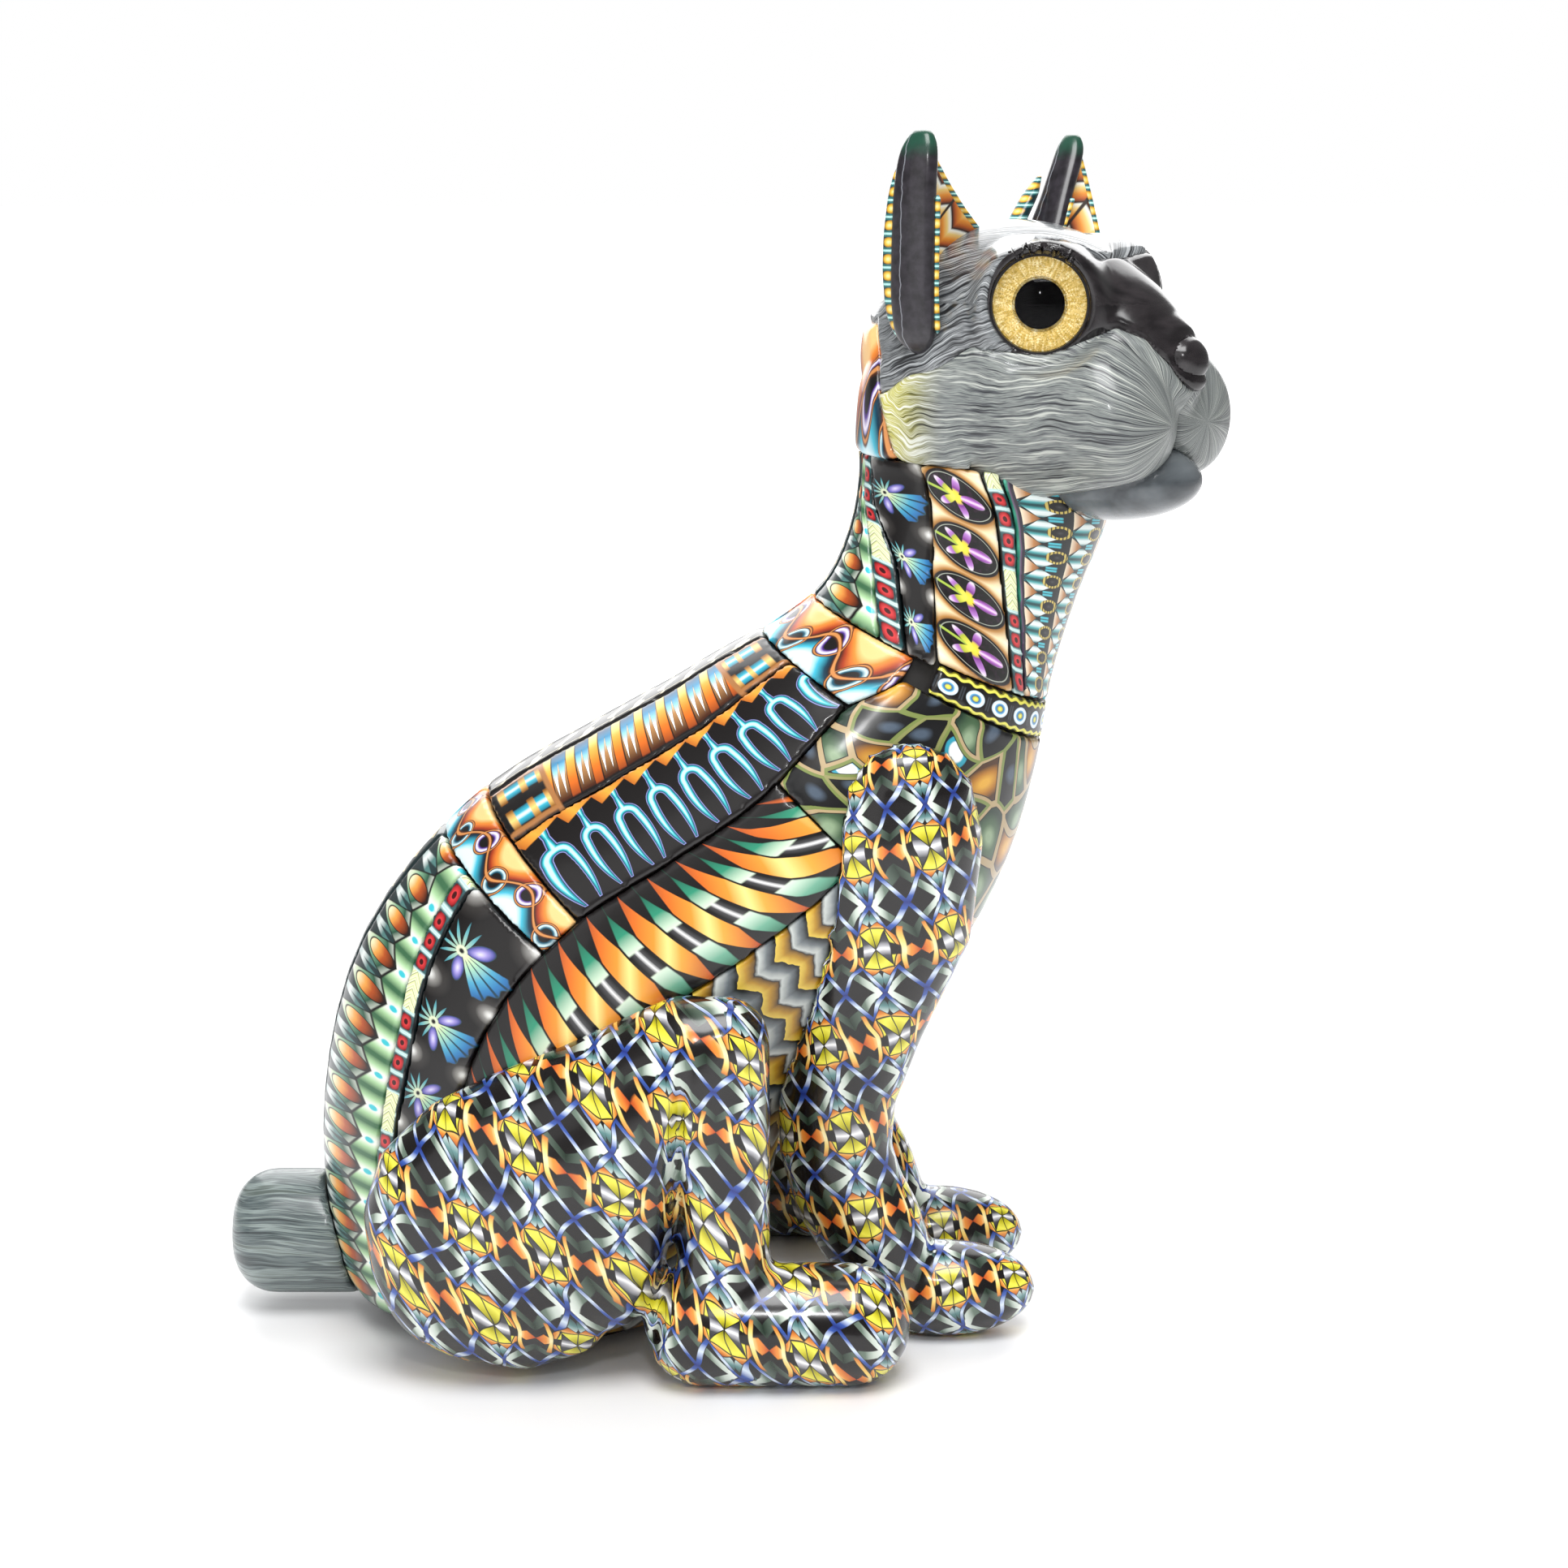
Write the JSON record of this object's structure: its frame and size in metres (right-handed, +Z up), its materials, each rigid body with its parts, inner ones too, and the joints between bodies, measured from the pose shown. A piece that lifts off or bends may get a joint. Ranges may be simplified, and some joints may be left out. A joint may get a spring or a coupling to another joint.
{
  "type": "alebrije figure",
  "caption": "Seated short-tailed cat figure of baked clay with patterned veneers and domed glass eyes; shelf decoration that stands on its seat and feet.",
  "frame": {"origin": "centre of the figure's bounding box in plan, on the ground plane it rests on", "axes": "+X the way the body faces, +Y to the animal's left, +Z up; the head is turned 35 degrees toward -Y"},
  "size_m": [0.2088, 0.12, 0.2466],
  "materials": {
    "core_clay": "baked core clay, hidden",
    "steel_wire": "plain annealed wire, hidden",
    "leg_clay": "satin varnished kaleidoscope slices",
    "leaf_clay": "satin varnished leaf slices",
    "lozenge_clay": "satin varnished lozenge slices",
    "chevron_clay": "satin varnished chevron slices",
    "bead_strip_clay": "satin varnished bead slices",
    "flower_clay": "satin varnished flower slices",
    "scroll_clay": "satin varnished scroll slices",
    "tooth_clay": "satin varnished tooth slices",
    "wishbone_clay": "satin varnished wishbone slices",
    "rib_clay": "satin varnished rib slices",
    "orchid_clay": "satin varnished orchid slices",
    "throat_clay": "satin varnished feather slices",
    "collar_clay": "satin varnished eyelet slices",
    "chest_clay": "satin varnished block slices",
    "belly_clay": "satin varnished zigzag slices",
    "tail_clay": "satin combed grey slices",
    "fur_clay": "satin combed grey slices",
    "crown_clay": "polished combed grey slices",
    "grey_clay": "polished plain grey",
    "dark_clay": "polished near-black",
    "charcoal_clay": "polished charcoal",
    "bead_trim_clay": "satin varnished bead trim",
    "feather_clay": "satin varnished feather slices",
    "ear_clay": "satin varnished clay",
    "gold_iris": "gold glitter under glass",
    "black_pupil": "black paint under glass",
    "eye_glass": "clear domed glass"
  },
  "bodies": {
    "root": {"armature_wire": "steel_wire", "belly_panel": "belly_clay", "body_core": "core_clay", "brow_mask": "dark_clay", "cheek_left": "fur_clay", "cheek_right": "fur_clay", "chest_panel": "chest_clay", "chin": "grey_clay", "collar_strip": "collar_clay", "crown_panel": "crown_clay", "ear_band_left": "charcoal_clay", "ear_band_right": "charcoal_clay", "ear_left": "ear_clay", "ear_lining_left": "feather_clay", "ear_lining_right": "feather_clay", "ear_right": "ear_clay", "ear_trim_left": "bead_trim_clay", "ear_trim_right": "bead_trim_clay", "eye_cups": "dark_clay", "eye_irises": "gold_iris", "eye_lenses": "eye_glass", "eye_pupils": "black_pupil", "foreleg_left": "leg_clay", "foreleg_right": "leg_clay", "front_scroll_left": "scroll_clay", "front_scroll_right": "scroll_clay", "head_core": "core_clay", "hind_leg_left": "leg_clay", "hind_leg_right": "leg_clay", "nape_panel": "scroll_clay", "neck_bead_strip_left": "bead_strip_clay", "neck_bead_strip_right": "bead_strip_clay", "neck_flower_strip_left": "flower_clay", "neck_flower_strip_right": "flower_clay", "neck_leaf_strip_left": "leaf_clay", "neck_leaf_strip_right": "leaf_clay", "neck_spine_strip": "lozenge_clay", "nose": "dark_clay", "orchid_strip_left": "orchid_clay", "orchid_strip_right": "orchid_clay", "rear_scroll_left": "scroll_clay", "rear_scroll_right": "scroll_clay", "rib_fan_left": "rib_clay", "rib_fan_right": "rib_clay", "rump_bead_strip_left": "bead_strip_clay", "rump_bead_strip_right": "bead_strip_clay", "rump_flower_strip_left": "flower_clay", "rump_flower_strip_right": "flower_clay", "rump_leaf_strip_left": "leaf_clay", "rump_leaf_strip_right": "leaf_clay", "rump_spine_strip": "lozenge_clay", "saddle_spine_strip": "chevron_clay", "saddle_tooth_band_left": "tooth_clay", "saddle_tooth_band_right": "tooth_clay", "tail": "tail_clay", "throat_bead_strip_left": "bead_strip_clay", "throat_bead_strip_right": "bead_strip_clay", "throat_feathers": "throat_clay", "wishbone_panel_left": "wishbone_clay", "wishbone_panel_right": "wishbone_clay"}
  },
  "joints": []
}
